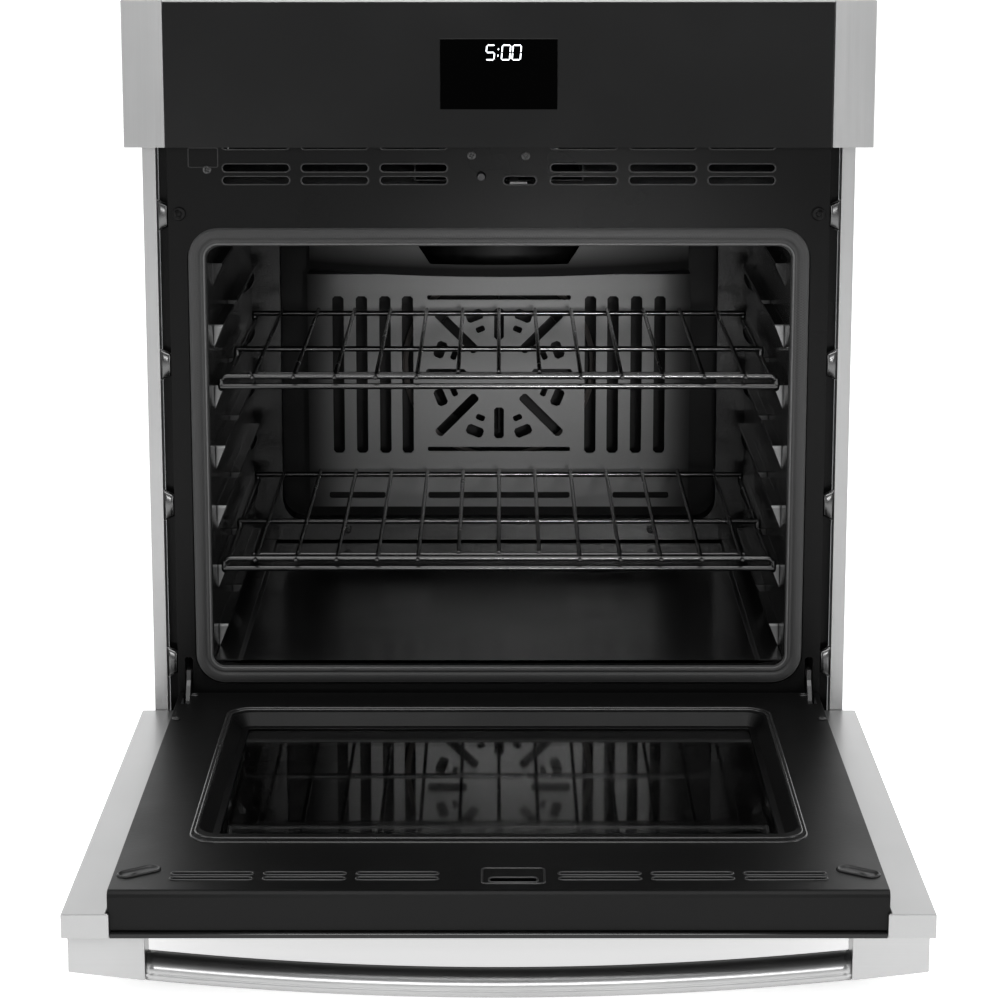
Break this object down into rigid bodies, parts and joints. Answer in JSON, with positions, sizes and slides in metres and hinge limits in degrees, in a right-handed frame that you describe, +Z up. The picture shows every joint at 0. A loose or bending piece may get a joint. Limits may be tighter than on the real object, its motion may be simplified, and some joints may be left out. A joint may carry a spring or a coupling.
{
  "type": "built-in wall oven",
  "caption": "Built-in electric wall oven with a drop-down glass door, bowed bar handle, glass control panel, enamelled cavity with ledges, and sliding wire racks.",
  "frame": {"origin": "centre of the flat underside of the chassis, which rests on the cabinet's shelf", "axes": "+Z up; the front, with its door, faces -Y; +X is to the right seen from the front; stored with the door fully open"},
  "size_m": [0.6794, 1.1464, 0.7482],
  "materials": {
    "galvanised_steel": "dull zinc-coated sheet",
    "black_enamel": "glossy black porcelain enamel",
    "cavity_enamel": "dark grey speckled porcelain enamel",
    "stainless_steel": "fine satin brushed stainless",
    "black_glass": "opaque black tempered glass",
    "display_lens": "smoked display window",
    "clear_glass": "tinted heat-reflecting glass",
    "gasket": "dark woven-glass gasket with a matt skin",
    "rack_wire": "dark nickel-plated wire",
    "heater_sheath": "oxidised heater sheath",
    "mineral_wool": "yellow mineral wool blanket",
    "circuit_board": "green board",
    "black_plastic": "moulded black plastic"
  },
  "bodies": {
    "root": {"base_pan": "galvanised_steel", "top_cover": "galvanised_steel", "side_panel_left": "galvanised_steel", "side_panel_right": "galvanised_steel", "rear_cover": "galvanised_steel", "duct_roof": "galvanised_steel", "blower_housing": "galvanised_steel", "blower_motor": "galvanised_steel", "fan_chamber": "galvanised_steel", "convection_motor": "galvanised_steel", "latch_motor": "galvanised_steel", "hinge_receiver_left": "galvanised_steel", "hinge_receiver_right": "galvanised_steel", "conduit_gland": "galvanised_steel", "front_frame": "black_enamel", "bottom_vent_trim": "black_enamel", "cavity_front_ring": "cavity_enamel", "cavity_wall_left": "cavity_enamel", "cavity_wall_right": "cavity_enamel", "cavity_roof": "cavity_enamel", "cavity_floor": "cavity_enamel", "cavity_back": "cavity_enamel", "fan_cover": "cavity_enamel", "top_deflector": "cavity_enamel", "side_trim_left": "stainless_steel", "side_trim_right": "stainless_steel", "panel_end_cap_left": "stainless_steel", "panel_end_cap_right": "stainless_steel", "control_panel_tray": "stainless_steel", "hinge_arm_left": "stainless_steel", "hinge_arm_right": "stainless_steel", "temperature_sensor": "stainless_steel", "control_panel_glass": "black_glass", "display_window": "display_lens", "lamp_lens": "clear_glass", "door_gasket": "gasket", "broil_element": "heater_sheath", "bake_element": "heater_sheath", "convection_element": "heater_sheath", "insulation_wrap": "mineral_wool", "control_board": "circuit_board", "display_module": "black_plastic", "door_switch": "black_plastic"},
    "door": {"door_front_glass": "black_glass", "door_side_frame_left": "stainless_steel", "door_side_frame_right": "stainless_steel", "door_liner": "black_enamel", "door_inner_glass": "clear_glass", "glass_retainer": "galvanised_steel", "door_hinge_body_left": "galvanised_steel", "door_hinge_body_right": "galvanised_steel", "handle_bar": "stainless_steel", "handle_end_left": "stainless_steel", "handle_end_right": "stainless_steel"},
    "upper_rack": {"rack_upper": "rack_wire"},
    "lower_rack": {"rack_lower": "rack_wire"},
    "fan_wheel": {"convection_fan": "galvanised_steel"},
    "cooling_wheel": {"blower_wheel": "galvanised_steel"},
    "latch": {"latch_hook": "galvanised_steel"},
    "switch_plunger": {"door_switch_plunger": "stainless_steel"}
  },
  "joints": [
    {"name": "door_hinge", "type": "hinge", "parent": "root", "child": "door", "pos_m": [0, -0.3082, 0.0588], "axis": [-1, 0, 0], "range_deg": [0, 90]},
    {"name": "upper_rack_slide", "type": "slide", "parent": "root", "child": "upper_rack", "axis": [0, 1, 0], "range_m": [-0.3, 0]},
    {"name": "lower_rack_slide", "type": "slide", "parent": "root", "child": "lower_rack", "axis": [0, 1, 0], "range_m": [-0.3, 0]},
    {"name": "convection_fan_spin", "type": "hinge", "parent": "root", "child": "fan_wheel", "pos_m": [0, 0.227, 0.2945], "axis": [0, 1, 0], "continuous": true},
    {"name": "cooling_wheel_spin", "type": "hinge", "parent": "root", "child": "cooling_wheel", "pos_m": [0, 0.047, 0.57], "axis": [0, 0, 1], "continuous": true},
    {"name": "latch_swing", "type": "hinge", "parent": "root", "child": "latch", "pos_m": [0.014, -0.253, 0.56], "axis": [0, 0, 1], "range_deg": [0, 10]},
    {"name": "door_switch_push", "type": "slide", "parent": "root", "child": "switch_plunger", "axis": [0, 1, 0], "range_m": [0, 0.0052]}
  ],
  "couplings": [
    {"joint": "door_switch_push", "follows": "door_hinge", "m_per_rad": 0.00325}
  ]
}
